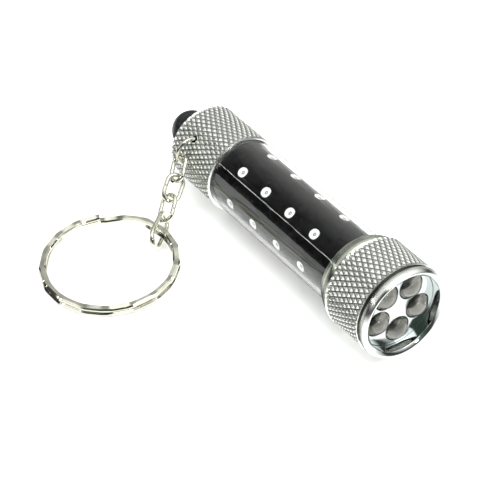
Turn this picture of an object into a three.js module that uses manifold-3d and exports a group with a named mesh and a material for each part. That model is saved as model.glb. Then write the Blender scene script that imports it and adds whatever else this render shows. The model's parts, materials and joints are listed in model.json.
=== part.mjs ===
// A five-lamp keychain flashlight lying on its side, with its chain and split ring.
// Millimetres. +X runs along the flashlight from tail to head, +Z is up.
// The origin is the middle of the whole object's footprint, on the surface that it lies on.

import * as THREE from 'three';
import { mergeVertices } from 'three/addons/utils/BufferGeometryUtils.js';
import Module from 'manifold-3d';

const wasm = await Module();
wasm.setup();

// Flashlight envelope
const HEAD_RADIUS = 9.1;
const CAP_RADIUS = 7.85;
const SLEEVE_RADIUS = 7.4;
const TUBE_RADIUS = 6.55;
const CAP_LENGTH = 13.4;
const BARREL_LENGTH = 35.7;
const HEAD_LENGTH = 14.4;

// Walls, clearances and rims
const TUBE_WALL = 0.6;
const SLEEVE_WALL = 0.55;
const THREAD_CLEARANCE = 0.1;
const END_GAP = 0.1;
const EDGE_CHAMFER = 0.35;
const SEAL_BORE_STEP = 0.7;
const SEAL_WIRE = 0.5;
const SEAL_DEPTH = 0.95;
const TAIL_THREAD = 3.9;
const HEAD_THREAD = 5.2;
const FACETS = 32;

// Power cells
const CELL_COUNT = 4;
const CELL_RADIUS = 5.8;
const CELL_LENGTH = 5.4;
const CELL_FRONT_GAP = 0.3;

// Lamps
const LAMP_COUNT = 5;
const LAMP_RADIUS = 2.4;
const LAMP_CIRCLE_RADIUS = 4.5;
const LAMP_HOLE_RADIUS = 2.5;
const LAMP_TIP_PROUD = 1.4;
const FIRST_LAMP_ANGLE = 54;
const OPENING_RADIUS = 7.7;
const PLATE_RECESS = 2.3;
const PLATE_THICKNESS = 0.9;
const LAMP_BASE = 5.6;
const BOARD_BACK = 4.4;
const BOARD_THICKNESS = 1.0;

// Head profile: how far each part of its outline is inside the knurl's radius
const HEAD_PROFILE = { rim: 1.3, collar: 0.55, groove: 0.8, lip: 0.05, face: 0.45 };
const REAR_COLLAR = 3.1;
const FRONT_GROOVE = { start: 2.2, end: 1.6 };
const LIP_ROUNDING = 0.6;
const FACE_WIDTH = 0.35;
const FACE_BEVEL = 0.35;

// Tail switch
const BUTTON_RADIUS = 4.0;
const BUTTON_PROUD = 8.3;
const BUTTON_DOME = 4.0;
const BUTTON_CLEARANCE = 0.1;

// Eyelet and chain
const EYELET_STATION = 5.1;
const EYELET_ANGLE = 26;
const EYELET_BORE = 0.7;
const JUMP_RING_RADIUS = 2.6;
const JUMP_RING_WIRE = 0.76;
const HANG_ANGLE = -36;
const LINK_LENGTH = 6.1;
const LINK_WIDTH = 4.1;
const LINK_WIRE = 0.85;
const CONNECTOR_LENGTH = 9.4;
const CONNECTOR_WIDTH = 4.7;
const CONNECTOR_WIRE = 0.9;
const LINK_PLAY = 0.4;

// Split ring
const RING_RADIUS = 13.0;
const RING_BAND = 1.4;
const COIL_THICKNESS = 0.9;
const COIL_PITCH = 1.0;
const COIL_JOG = 43;
const RING_TILT = 4;
const RING_HEADING = 115;
const RING_CROSSING = 100;

// Stations along the flashlight, from the tail's rear face
const BARREL_START = CAP_LENGTH;
const HEAD_START = BARREL_START + BARREL_LENGTH;
const HEAD_FRONT = HEAD_START + HEAD_LENGTH;
const KNURL_START = HEAD_START + REAR_COLLAR;
const PLATE_FRONT = HEAD_FRONT - PLATE_RECESS;

const degrees = THREE.MathUtils.degToRad;

const finishes = {
  bright_aluminium: { color: 0xd9dbd6, roughness: 0.25, metalness: 1.0 },
  black_anodised: { color: 0x0b0b0d, roughness: 0.15, metalness: 0.5 },
  clear_acrylic: { color: 0xf2f5f5, roughness: 0.05, metalness: 0.0 },
  black_plastic: { color: 0x101112, roughness: 0.35, metalness: 0.0 },
  white_plastic: { color: 0xe9e9e4, roughness: 0.5, metalness: 0.0 },
  lamp_epoxy: { color: 0xdfe3e0, roughness: 0.08, metalness: 0.0 },
  circuit_board: { color: 0x1d6b3a, roughness: 0.6, metalness: 0.0 },
  silvered_plate: { color: 0xeceeee, roughness: 0.2, metalness: 0.9 },
  cell_steel: { color: 0xc4c7c9, roughness: 0.3, metalness: 1.0 },
  spring_steel: { color: 0xb5b7ba, roughness: 0.35, metalness: 1.0 },
  contact_brass: { color: 0xc9a24a, roughness: 0.3, metalness: 1.0 },
  seal_rubber: { color: 0x161616, roughness: 0.8, metalness: 0.0 },
  nickel_plate: { color: 0xdcdcd4, roughness: 0.2, metalness: 1.0 },
};

function part(name, finish, geometry) {
  const mesh = new THREE.Mesh(geometry, new THREE.MeshStandardMaterial(finishes[finish]));
  mesh.name = name;
  return mesh;
}

// A piece turned about +X from [station, radius] corners, with a flat facet facing down.
function turned(corners, facets = FACETS) {
  const profile = corners.map(([station, radius]) => new THREE.Vector2(radius, station));
  const geometry = new THREE.LatheGeometry(profile, facets, Math.PI / facets);
  geometry.rotateZ(-Math.PI / 2);
  return geometry;
}

// The same for a piece with a hole right through: its profile closes on itself.
function turnedHollow(corners, facets = FACETS) {
  return turned([...corners, corners[0]], facets);
}

function sleeveShape(start, end, bore, radius) {
  return turnedHollow([[start, bore], [start, radius], [end, radius], [end, bore]]);
}

// A torus whose axis is +X.
function hoop(radius, wire, sides, facets) {
  const geometry = new THREE.TorusGeometry(radius, wire / 2, sides, facets);
  geometry.rotateY(Math.PI / 2);
  return geometry;
}

function toSolid(geometry) {
  const bare = geometry.clone();
  bare.deleteAttribute('normal');
  bare.deleteAttribute('uv');
  const merged = mergeVertices(bare);
  return new wasm.Manifold(new wasm.Mesh({
    numProp: 3,
    vertProperties: new Float32Array(merged.attributes.position.array),
    triVerts: new Uint32Array(merged.index.array),
  }));
}

function toGeometry(solid) {
  const mesh = solid.getMesh();
  const geometry = new THREE.BufferGeometry();
  geometry.setAttribute('position', new THREE.BufferAttribute(mesh.vertProperties, 3));
  geometry.setIndex(new THREE.BufferAttribute(mesh.triVerts, 1));
  geometry.computeVertexNormals();
  return geometry;
}

function polygon(radius, sides) {
  const corners = [];
  for (let i = 0; i < sides; i += 1) {
    const angle = (i / sides) * 2 * Math.PI;
    corners.push(new THREE.Vector2(radius * Math.cos(angle), radius * Math.sin(angle)));
  }
  return corners;
}

class Helix extends THREE.Curve {
  constructor(radius, start, end, turns) {
    super();
    Object.assign(this, { radius, start, end, turns });
  }

  getPoint(t, target = new THREE.Vector3()) {
    const angle = t * this.turns * 2 * Math.PI;
    const station = THREE.MathUtils.lerp(this.start, this.end, t);
    return target.set(station, this.radius * Math.cos(angle), this.radius * Math.sin(angle));
  }
}

function coilSpring(radius, wire, start, end, turns) {
  return new THREE.ExtrudeGeometry(new THREE.Shape(polygon(wire / 2, 6)), {
    steps: Math.round(turns * 12),
    extrudePath: new Helix(radius, start, end, turns),
    bevelEnabled: false,
  });
}

// ---- Barrel: black tube, clear sleeve, cells and seals

function batteryTube() {
  const start = CAP_LENGTH - TAIL_THREAD;
  const end = HEAD_START + HEAD_THREAD;
  const tube = sleeveShape(start, end, TUBE_RADIUS - TUBE_WALL, TUBE_RADIUS);
  return part('battery_tube', 'black_anodised', tube);
}

function clearSleeve() {
  const start = BARREL_START + END_GAP;
  const end = HEAD_START - END_GAP;
  const sleeve = sleeveShape(start, end, SLEEVE_RADIUS - SLEEVE_WALL, SLEEVE_RADIUS);
  return part('clear_sleeve', 'clear_acrylic', sleeve);
}

function powerCells(front) {
  const crimp = 0.25;
  const capRadius = 4.8;
  const capStep = 0.4;
  const length = CELL_LENGTH - END_GAP;
  const cells = [];
  for (let i = 0; i < CELL_COUNT; i += 1) {
    const cell = part(`cell_${i + 1}`, 'cell_steel', turned([
      [0, 0],
      [0, capRadius],
      [capStep, capRadius],
      [capStep, CELL_RADIUS],
      [length - crimp, CELL_RADIUS],
      [length, CELL_RADIUS - crimp],
      [length, 0],
    ], 24));
    cell.position.x = front - (i + 1) * CELL_LENGTH;
    cells.push(cell);
  }
  return cells;
}

function seal(name, station) {
  const radius = TUBE_RADIUS + SEAL_BORE_STEP / 2;
  const mesh = part(name, 'seal_rubber', hoop(radius, SEAL_WIRE, 8, FACETS));
  mesh.position.x = station;
  return mesh;
}

// ---- Tail: cap, switch and its springs

// A point across the flashlight: its distance from a centre and its angle up from -Y.
function across(station, distance, angle) {
  const turn = degrees(angle);
  return new THREE.Vector3(station, -distance * Math.cos(turn), distance * Math.sin(turn));
}

// The jump ring is centred where its two holes open on the cap's surface.
function jumpRingCentre() {
  const reach = Math.sqrt(CAP_RADIUS ** 2 - JUMP_RING_RADIUS ** 2);
  return across(EYELET_STATION, reach, EYELET_ANGLE);
}

function onJumpRing(angle) {
  return jumpRingCentre().add(across(0, JUMP_RING_RADIUS, angle));
}

function jumpRing() {
  const ring = part('jump_ring', 'nickel_plate', hoop(JUMP_RING_RADIUS, JUMP_RING_WIRE, 8, 24));
  ring.position.copy(jumpRingCentre());
  return ring;
}

function tailCap() {
  const shoulder = 6.4;
  const threadBore = TUBE_RADIUS + THREAD_CLEARANCE;
  const sealBore = TUBE_RADIUS + SEAL_BORE_STEP;
  const buttonBore = BUTTON_RADIUS + BUTTON_CLEARANCE;
  const shell = toSolid(turnedHollow([
    [0, buttonBore],
    [0, CAP_RADIUS - EDGE_CHAMFER],
    [EDGE_CHAMFER, CAP_RADIUS],
    [CAP_LENGTH - EDGE_CHAMFER / 2, CAP_RADIUS],
    [CAP_LENGTH, CAP_RADIUS - EDGE_CHAMFER / 2],
    [CAP_LENGTH, sealBore],
    [CAP_LENGTH - SEAL_DEPTH, sealBore],
    [CAP_LENGTH - SEAL_DEPTH, threadBore],
    [shoulder, threadBore],
    [shoulder, buttonBore],
  ]));
  const tunnelShape = hoop(JUMP_RING_RADIUS, 2 * EYELET_BORE, 12, 32);
  tunnelShape.translate(...jumpRingCentre());
  return part('tail_cap', 'bright_aluminium', toGeometry(shell.subtract(toSolid(tunnelShape))));
}

function pushButton() {
  const flange = { start: 6.5, end: 7.3, radius: 4.8 };
  const corners = [];
  const domeSteps = 6;
  for (let i = 0; i <= domeSteps; i += 1) {
    const angle = (i / domeSteps) * (Math.PI / 2);
    const station = -BUTTON_PROUD + BUTTON_DOME * (1 - Math.cos(angle));
    corners.push([station, BUTTON_RADIUS * Math.sin(angle)]);
  }
  corners.push([flange.start, BUTTON_RADIUS], [flange.start, flange.radius]);
  corners.push([flange.end, flange.radius], [flange.end, 0]);
  return part('push_button', 'black_plastic', turned(corners, 24));
}

function switchPlunger() {
  const radius = 1.3;
  const start = 7.4;
  const end = 11;
  const corners = [[start, 0], [start, radius], [end, radius], [end, 0]];
  return part('switch_plunger', 'white_plastic', turned(corners, 12));
}

function switchHousing() {
  const radius = 5.7;
  const start = 8.8;
  const end = 14;
  const bore = 1.5;
  const boreEnd = 12.6;
  return part('switch_housing', 'black_plastic', turned([
    [boreEnd, 0],
    [boreEnd, bore],
    [start, bore],
    [start, radius],
    [end, radius],
    [end, 0],
  ], 24));
}

function returnSpring() {
  const wire = 0.3;
  const spring = coilSpring(3.2, wire, 7.65, 8.5, 2.5);
  return part('return_spring', 'spring_steel', spring);
}

function batterySpring(cellBack) {
  const wire = 0.7;
  const spring = coilSpring(3.6, wire, 14.6, cellBack - 0.6, 5.5);
  return part('battery_spring', 'spring_steel', spring);
}

// ---- Head: shell, lamps and what carries them

function headShell() {
  const threadBore = TUBE_RADIUS + THREAD_CLEARANCE;
  const sealBore = TUBE_RADIUS + SEAL_BORE_STEP;
  const threadEnd = HEAD_THREAD + 0.2;
  const rim = HEAD_RADIUS - HEAD_PROFILE.rim;
  const collar = HEAD_RADIUS - HEAD_PROFILE.collar;
  const groove = HEAD_RADIUS - HEAD_PROFILE.groove;
  const lip = HEAD_RADIUS - HEAD_PROFILE.lip;
  const face = HEAD_RADIUS - HEAD_PROFILE.face;
  const grooveStart = HEAD_FRONT - FRONT_GROOVE.start;
  const grooveEnd = HEAD_FRONT - FRONT_GROOVE.end;
  const outline = [
    [HEAD_START, sealBore],
    [HEAD_START, rim - 0.25],
    [HEAD_START + 0.25, rim],
    [HEAD_START + 0.8, rim],
    [HEAD_START + 1.5, collar - 0.2],
    [HEAD_START + 2.2, collar],
    [KNURL_START - 0.3, collar],
    [KNURL_START - 0.3, groove],
    [KNURL_START, groove],
    [KNURL_START, HEAD_RADIUS],
    [grooveStart, HEAD_RADIUS],
    [grooveStart, groove],
    [grooveEnd, groove],
    [grooveEnd, lip],
    [HEAD_FRONT - LIP_ROUNDING, lip],
    [HEAD_FRONT, face],
    [HEAD_FRONT, face - FACE_WIDTH],
    [HEAD_FRONT - FACE_BEVEL, OPENING_RADIUS],
    [HEAD_START + threadEnd, OPENING_RADIUS],
    [HEAD_START + threadEnd, threadBore],
    [HEAD_START + SEAL_DEPTH, threadBore],
    [HEAD_START + SEAL_DEPTH, sealBore],
  ];
  return part('head_shell', 'bright_aluminium', turnedHollow(outline));
}

function lampCentre(i) {
  return across(0, LAMP_CIRCLE_RADIUS, FIRST_LAMP_ANGLE + (i * 360) / LAMP_COUNT);
}

// A disc across the head with a hole for each lamp, from one station to another.
function lampDisc(name, finish, start, end) {
  const outline = new THREE.Shape(polygon(OPENING_RADIUS - 0.15, FACETS));
  for (let i = 0; i < LAMP_COUNT; i += 1) {
    const { y, z } = lampCentre(i);
    const centre = new THREE.Vector2(y, z);
    const hole = polygon(LAMP_HOLE_RADIUS, 16).map((corner) => corner.add(centre));
    outline.holes.push(new THREE.Path(hole));
  }
  const geometry = new THREE.ExtrudeGeometry(outline, { depth: end - start, bevelEnabled: false });
  // The outline's x and y become the flashlight's y and z.
  geometry.rotateX(Math.PI / 2);
  geometry.rotateZ(Math.PI / 2);
  geometry.translate(start, 0, 0);
  return part(name, finish, geometry);
}

function lamps() {
  const base = HEAD_START + LAMP_BASE;
  const tip = PLATE_FRONT + LAMP_TIP_PROUD;
  const dome = 2.0;
  const domeSteps = 4;
  const corners = [[base, 0], [base, LAMP_RADIUS]];
  for (let i = 0; i <= domeSteps; i += 1) {
    const angle = (i / domeSteps) * (Math.PI / 2);
    corners.push([tip - dome + dome * Math.sin(angle), LAMP_RADIUS * Math.cos(angle)]);
  }
  corners[corners.length - 1][1] = 0;
  const found = [];
  for (let i = 0; i < LAMP_COUNT; i += 1) {
    const lamp = part(`led_${i + 1}`, 'lamp_epoxy', turned(corners, 12));
    lamp.position.copy(lampCentre(i));
    found.push(lamp);
  }
  return found;
}

function lampBoard() {
  const start = HEAD_START + BOARD_BACK;
  const end = start + BOARD_THICKNESS;
  const radius = 5.6;
  const corners = [[start, 0], [start, radius], [end, radius], [end, 0]];
  return part('led_board', 'circuit_board', turned(corners, 24));
}

function lampContact(cellFront) {
  const start = cellFront + END_GAP;
  const end = HEAD_START + BOARD_BACK - END_GAP;
  const stem = 1.1;
  const foot = { radius: 2.2, length: 0.6 };
  return part('lamp_contact', 'contact_brass', turned([
    [start, 0],
    [start, 0.6],
    [start + 0.5, stem],
    [end - foot.length, stem],
    [end - foot.length, foot.radius],
    [end, foot.radius],
    [end, 0],
  ], 12));
}

// ---- Chain and split ring

// An oval link in its own XY plane, long along X: a torus whose two ends are pulled apart.
function ovalLink(length, width, wire) {
  const radius = (width - wire) / 2;
  const stretch = (length - width) / 2;
  const geometry = new THREE.TorusGeometry(radius, wire / 2, 8, 24);
  const position = geometry.attributes.position;
  for (let i = 0; i < position.count; i += 1) {
    const x = position.getX(i);
    if (Math.abs(x) > 1e-4) {
      position.setX(i, x + Math.sign(x) * stretch);
    }
  }
  return geometry;
}

// Two turns of flat wire, one on the other, with a short jog up between them.
class SplitCoil extends THREE.Curve {
  getPoint(t, target = new THREE.Vector3()) {
    const turn = 2 * Math.PI;
    const jog = degrees(COIL_JOG);
    const angle = t * (2 * turn - jog);
    const rise = THREE.MathUtils.smoothstep(angle, turn - jog, turn) - 0.5;
    const radius = RING_RADIUS - RING_BAND / 2;
    return target.set(radius * Math.cos(angle), -radius * Math.sin(angle), COIL_PITCH * rise);
  }
}

function splitRing() {
  const halfThickness = COIL_THICKNESS / 2;
  const halfBand = RING_BAND / 2;
  const bevel = 0.2;
  const section = new THREE.Shape([
    new THREE.Vector2(-halfThickness, -halfBand + bevel),
    new THREE.Vector2(-halfThickness + bevel, -halfBand),
    new THREE.Vector2(halfThickness - bevel, -halfBand),
    new THREE.Vector2(halfThickness, -halfBand + bevel),
    new THREE.Vector2(halfThickness, halfBand - bevel),
    new THREE.Vector2(halfThickness - bevel, halfBand),
    new THREE.Vector2(-halfThickness + bevel, halfBand),
    new THREE.Vector2(-halfThickness, halfBand - bevel),
  ]);
  return part('split_ring', 'nickel_plate', new THREE.ExtrudeGeometry(section, {
    steps: 76,
    extrudePath: new SplitCoil(),
    bevelEnabled: false,
  }));
}

// ---- The flashlight, along +X

const cellFront = HEAD_START + CELL_FRONT_GAP;
const cellBack = cellFront - CELL_COUNT * CELL_LENGTH;
const plateBack = PLATE_FRONT - PLATE_THICKNESS;
const torch = new THREE.Group();
torch.add(
  batteryTube(),
  clearSleeve(),
  ...powerCells(cellFront),
  seal('tail_seal', BARREL_START - SEAL_DEPTH / 2),
  seal('head_seal', HEAD_START + SEAL_DEPTH / 2),
  tailCap(),
  pushButton(),
  returnSpring(),
  switchPlunger(),
  switchHousing(),
  batterySpring(cellBack),
  headShell(),
  lampDisc('reflector_plate', 'silvered_plate', plateBack, PLATE_FRONT),
  lampDisc('led_holder', 'white_plastic', HEAD_START + LAMP_BASE + END_GAP, plateBack - END_GAP),
  ...lamps(),
  lampBoard(),
  lampContact(cellFront),
  jumpRing(),
);

// It lies on the edge of its cap and on its wider head, so its axis rises towards the head.
torch.rotation.y = -Math.atan((HEAD_RADIUS - CAP_RADIUS) / (KNURL_START - EDGE_CHAMFER));
torch.position.z = -new THREE.Box3().setFromObject(torch, true).min.z;
torch.updateMatrixWorld(true);

// ---- The chain, link by link, from the eyelet down to the surface

const model = new THREE.Group();
model.add(torch);

// Each link's heading about +Z, its dip below the horizontal and its roll about its own
// length, in degrees.
const chain = [
  { name: 'link_1', heading: -48, dip: 36, roll: 35 },
  { name: 'link_2', heading: -56, dip: 37, roll: -40 },
  { name: 'link_3', heading: -52, dip: 37, roll: 30 },
  { name: 'connector_link', heading: -48, dip: -2, roll: 105 },
];

// A link hooked round the wire whose middle is at hook. Returns where the next one hooks on.
function hangLink({ name, heading, dip, roll }, hook, hookWire, size) {
  const link = part(name, 'nickel_plate', ovalLink(size.length, size.width, size.wire));
  link.rotation.set(degrees(roll), degrees(dip), degrees(heading), 'ZYX');
  const along = new THREE.Vector3(1, 0, 0).applyEuler(link.rotation);
  const halfSpan = (size.length - size.wire) / 2;
  const behind = (hookWire + size.wire) / 2 + LINK_PLAY;
  link.position.copy(hook).addScaledVector(along, halfSpan - behind);
  model.add(link);
  return link.position.clone().addScaledVector(along, halfSpan);
}

const smallLink = { length: LINK_LENGTH, width: LINK_WIDTH, wire: LINK_WIRE };
const connector = { length: CONNECTOR_LENGTH, width: CONNECTOR_WIDTH, wire: CONNECTOR_WIRE };
let hook = torch.localToWorld(onJumpRing(HANG_ANGLE));
let hookWire = JUMP_RING_WIRE;
for (const place of chain) {
  const size = place.name === 'connector_link' ? connector : smallLink;
  hook = hangLink(place, hook, hookWire, size);
  hookWire = size.wire;
}

// The split ring passes through the middle of the connector link and rests on the surface.
const ring = splitRing();
const crossing = degrees(RING_CROSSING);
ring.rotation.set(0, -degrees(RING_TILT), degrees(RING_HEADING), 'ZYX');
ring.position.copy(model.getObjectByName('connector_link').position);
ring.position.x -= (RING_RADIUS - RING_BAND / 2) * Math.cos(crossing);
ring.position.y -= (RING_RADIUS - RING_BAND / 2) * Math.sin(crossing);
ring.position.z = 0;
ring.position.z = -new THREE.Box3().setFromObject(ring, true).min.z;
model.add(ring);

// The origin is under the middle of the whole object, on the surface.
const bounds = new THREE.Box3().setFromObject(model, true);
const middle = bounds.getCenter(new THREE.Vector3());
model.position.set(-middle.x, -middle.y, -bounds.min.z);

export default model;
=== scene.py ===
import json
import math
import random

import bmesh
import bpy
import numpy as np
from mathutils import Matrix, Vector


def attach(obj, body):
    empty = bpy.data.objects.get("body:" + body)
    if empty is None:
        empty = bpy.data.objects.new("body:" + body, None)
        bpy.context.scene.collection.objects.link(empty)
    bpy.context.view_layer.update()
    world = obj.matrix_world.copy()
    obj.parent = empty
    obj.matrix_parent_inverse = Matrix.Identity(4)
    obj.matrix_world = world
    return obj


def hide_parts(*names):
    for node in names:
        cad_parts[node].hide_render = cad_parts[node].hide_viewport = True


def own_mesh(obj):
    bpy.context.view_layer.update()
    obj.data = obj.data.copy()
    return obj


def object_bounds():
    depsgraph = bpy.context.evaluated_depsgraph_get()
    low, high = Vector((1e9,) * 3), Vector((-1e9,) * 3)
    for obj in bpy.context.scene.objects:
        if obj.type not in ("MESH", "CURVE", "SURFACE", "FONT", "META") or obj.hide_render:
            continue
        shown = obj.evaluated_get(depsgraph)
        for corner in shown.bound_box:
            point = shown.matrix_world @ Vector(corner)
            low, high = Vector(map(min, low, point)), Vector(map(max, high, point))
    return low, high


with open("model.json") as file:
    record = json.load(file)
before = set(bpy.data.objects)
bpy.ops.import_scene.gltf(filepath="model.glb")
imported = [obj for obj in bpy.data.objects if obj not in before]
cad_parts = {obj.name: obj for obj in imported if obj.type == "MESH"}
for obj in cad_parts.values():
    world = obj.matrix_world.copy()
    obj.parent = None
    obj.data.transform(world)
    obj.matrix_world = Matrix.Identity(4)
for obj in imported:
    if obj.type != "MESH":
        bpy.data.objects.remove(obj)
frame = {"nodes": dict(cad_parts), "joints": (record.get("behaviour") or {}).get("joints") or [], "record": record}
cad_low, cad_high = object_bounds()

MM = 0.001
TAU = 2 * math.pi

# ---------------------------------------------------------------- sizes, in millimetres

CAP_LENGTH = 13.4
HEAD_START = 49.1
HEAD_FRONT = 63.5
CAP_RADIUS = 7.85
SLEEVE_RADIUS = 7.4
SLEEVE_WALL = 0.55
TUBE_RADIUS = 6.55
HEAD_RADIUS = 9.1
OPENING_RADIUS = 7.7
PLATE_FRONT = 61.2
BUTTON_RADIUS = 4.0
BUTTON_PROUD = 8.3
BUTTON_DOME = 4.0
THREAD_PITCH = 1.0
THREAD_DEPTH = 0.28
THREAD_BORE = 6.65
SEAL_BORE = 7.25
SEAL_DEPTH = 0.9
CAP_SHOULDER = 6.4
BUTTON_HOLE = 4.1
TUBE_START, TUBE_END = 9.5, 54.3
TUBE_BORE = 5.95
FLANGE_START, FLANGE_END, FLANGE_RADIUS = 6.5, 7.3, 4.8

KNURL_DEPTH = 0.27
CAP_DIAMONDS = 44
HEAD_DIAMONDS = 52
KNURL_AXIAL = 1.92
KNURL_CREST = 1.1
KNURL_FADE = 0.16

DOT_STATIONS = [19.25, 26.75, 34.25, 41.75]
DOT_FIRST_ROW = 55.5
DOT_ROWS = 6
DOT_RADIUS = 1.05
DOT_DEPTH = 0.2

LAMP_COUNT = 5
LAMP_RADIUS = 2.4
LAMP_CIRCLE = 4.5
LAMP_HOLE = 2.5
LAMP_TIP = PLATE_FRONT + 1.4
LAMP_BASE = 54.7
FIRST_LAMP = 54.0

JUMP_RADIUS = 2.6
JUMP_WIRE = 0.76
EYELET_BORE = 0.7
LINK = (6.1, 4.1, 0.85)
CONNECTOR = (9.4, 4.7, 0.9)
RING_RADIUS = 13.0
RING_BAND = 1.4
COIL_THICKNESS = 0.9
COIL_PITCH = 1.0
COIL_JOG = 43
RING_HEADING = 115
RING_TILT = 4

# ---------------------------------------------------------------- the flashlight's own frame

joints = {j["name"]: j for j in frame["joints"]}
mounts = {m["name"]: m for m in frame["record"]["mounts"]}
tail = Vector(joints["cap_turn"]["pos_m"])
along = -Vector(joints["cap_turn"]["axis"]).normalized()
side = Vector((0, 1, 0))
up = along.cross(side).normalized()
TORCH = Matrix.Translation(tail) @ Matrix((along, side, up)).transposed().to_4x4()


def scaled(matrix):
    """The same placing for a mesh in millimetres."""
    return matrix @ Matrix.Scale(MM, 4)


# ---------------------------------------------------------------- mesh making

def linked(name, data):
    """A new object in the scene."""
    obj = bpy.data.objects.new(name, data)
    bpy.context.scene.collection.objects.link(obj)
    return obj


def smooth(mesh, sharp):
    """Smooth shading, apart from the edges that bend by more than sharp degrees."""
    mesh.polygons.foreach_set("use_smooth", [True] * len(mesh.polygons))
    mesh.set_sharp_from_angle(angle=math.radians(sharp))


def turn_outward(mesh, merge=0.0):
    """Makes every face look outward, after joining points closer than merge metres."""
    bm = bmesh.new()
    bm.from_mesh(mesh)
    if merge:
        bmesh.ops.remove_doubles(bm, verts=bm.verts, dist=merge)
    bmesh.ops.recalc_face_normals(bm, faces=bm.faces)
    bm.to_mesh(mesh)
    bm.free()


def new_object(name, verts, faces, matrix, sharp=35, materials=(), face_materials=None):
    mesh = bpy.data.meshes.new(name)
    points = [tuple(v) for v in np.asarray(verts, float)]
    mesh.from_pydata(points, [], [tuple(f) for f in faces])
    mesh.transform(scaled(matrix))
    for material in materials:
        mesh.materials.append(material)
    if face_materials is not None:
        mesh.polygons.foreach_set("material_index", np.asarray(face_materials, np.int32))
    turn_outward(mesh)
    smooth(mesh, sharp)
    return linked(name, mesh)


def place(obj, body, slot, *nodes):
    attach(obj, body)
    if nodes:
        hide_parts(*nodes)
    return obj


def filleted(corners, default=0.12, steps=3):
    """Rounds each corner of a closed outline. A corner is (x, y) or (x, y, radius)."""
    n = len(corners)
    out = []
    for i, corner in enumerate(corners):
        here = np.array(corner[:2], float)
        before = np.array(corners[i - 1][:2], float)
        after = np.array(corners[(i + 1) % n][:2], float)
        radius = corner[2] if len(corner) > 2 else default
        a, b = before - here, after - here
        la, lb = np.linalg.norm(a), np.linalg.norm(b)
        a, b = a / la, b / lb
        angle = math.acos(max(-1, min(1, a @ b)))
        if radius <= 0 or angle > math.radians(176):
            out.append(tuple(here))
            continue
        reach = min(radius / math.tan(angle / 2), 0.45 * la, 0.45 * lb)
        for k in range(steps + 1):
            t = k / steps
            p = here + a * reach * (1 - t) ** 2 + b * reach * t ** 2
            out.append(tuple(p))
    return out


def lathe(outline, segments, shape=None, axis_ends=False):
    """Turns (station, radius) points about +X. shape(stations, angles, radii) may change the
    radii. Where axis_ends, the outline's first and last points are on the axis."""
    stations = np.array([p[0] for p in outline], float)
    radii = np.array([p[1] for p in outline], float)
    angles = np.arange(segments) * TAU / segments
    s = np.repeat(stations[:, None], segments, 1)
    a = np.repeat(angles[None, :], len(outline), 0)
    r = np.repeat(radii[:, None], segments, 1)
    if shape is not None:
        r = shape(s, a, r)
    grid = np.stack([s, -r * np.cos(a), r * np.sin(a)], 2)
    rows = len(outline)
    faces, owner = [], []
    index = np.arange(rows * segments).reshape(rows, segments)
    last = rows - 1 if axis_ends else rows
    for i in range(last):
        k = (i + 1) % rows
        for j in range(segments):
            m = (j + 1) % segments
            if axis_ends and i == 0:
                faces.append((index[0, 0], index[k, m], index[k, j]))
            elif axis_ends and k == rows - 1:
                faces.append((index[i, j], index[i, m], index[k, 0]))
            else:
                faces.append((index[i, j], index[i, m], index[k, m], index[k, j]))
            owner.append(i)
    return grid.reshape(-1, 3), faces, owner


def compact(verts, faces):
    """Leaves out the points that no face uses."""
    used = sorted({i for f in faces for i in f})
    where = {old: new for new, old in enumerate(used)}
    return np.asarray(verts)[used], [tuple(where[i] for i in f) for f in faces]


def turned(name, outline, segments, matrix=TORCH, axis_ends=False, shape=None, sharp=35,
           materials=(), material_of=None):
    verts, faces, owner = lathe(outline, segments, shape, axis_ends)
    verts, faces = compact(verts, faces)
    picks = None if material_of is None else [material_of(outline[i]) for i in owner]
    return new_object(name, verts, faces, matrix, sharp, materials, picks)


def swept(name, centres, sides, outs, section, matrix, closed=True, sharp=40, materials=()):
    """A section of (out, side) points, one per ring, carried along centres."""
    rings, count = len(centres), len(section[0])
    verts = []
    for c, s, o, points in zip(centres, sides, outs, section):
        for x, y in points:
            verts.append(np.asarray(c) + np.asarray(o) * x + np.asarray(s) * y)
    faces = []
    for i in range(rings if closed else rings - 1):
        k = (i + 1) % rings
        for j in range(count):
            m = (j + 1) % count
            faces.append((i * count + j, i * count + m, k * count + m, k * count + j))
    if not closed:
        faces.append(tuple(range(count))[::-1])
        faces.append(tuple((rings - 1) * count + j for j in range(count)))
    return new_object(name, verts, faces, matrix, sharp, materials)


def baked(obj):
    """Applies every modifier."""
    bpy.context.view_layer.update()
    graph = bpy.context.evaluated_depsgraph_get()
    mesh = bpy.data.meshes.new_from_object(obj.evaluated_get(graph))
    obj.modifiers.clear()
    old = obj.data
    obj.data = mesh
    bpy.data.meshes.remove(old)
    return obj


def cut(obj, cutter, sharp=35):
    """Takes cutter out of obj, and the cut faces keep the cutter's material."""
    boolean = obj.modifiers.new("cut", "BOOLEAN")
    boolean.operation = "DIFFERENCE"
    boolean.solver = "EXACT"
    boolean.material_mode = "TRANSFER"
    boolean.object = cutter
    baked(obj)
    bpy.data.objects.remove(cutter)
    smooth(obj.data, sharp)
    return obj


def tag_depth(obj, name, values):
    """Writes one number per point, for a material to read."""
    attribute = obj.data.attributes.new(name, "FLOAT", "POINT")
    attribute.data.foreach_set("value", np.asarray(values, np.float32))


# ---------------------------------------------------------------- materials

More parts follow.
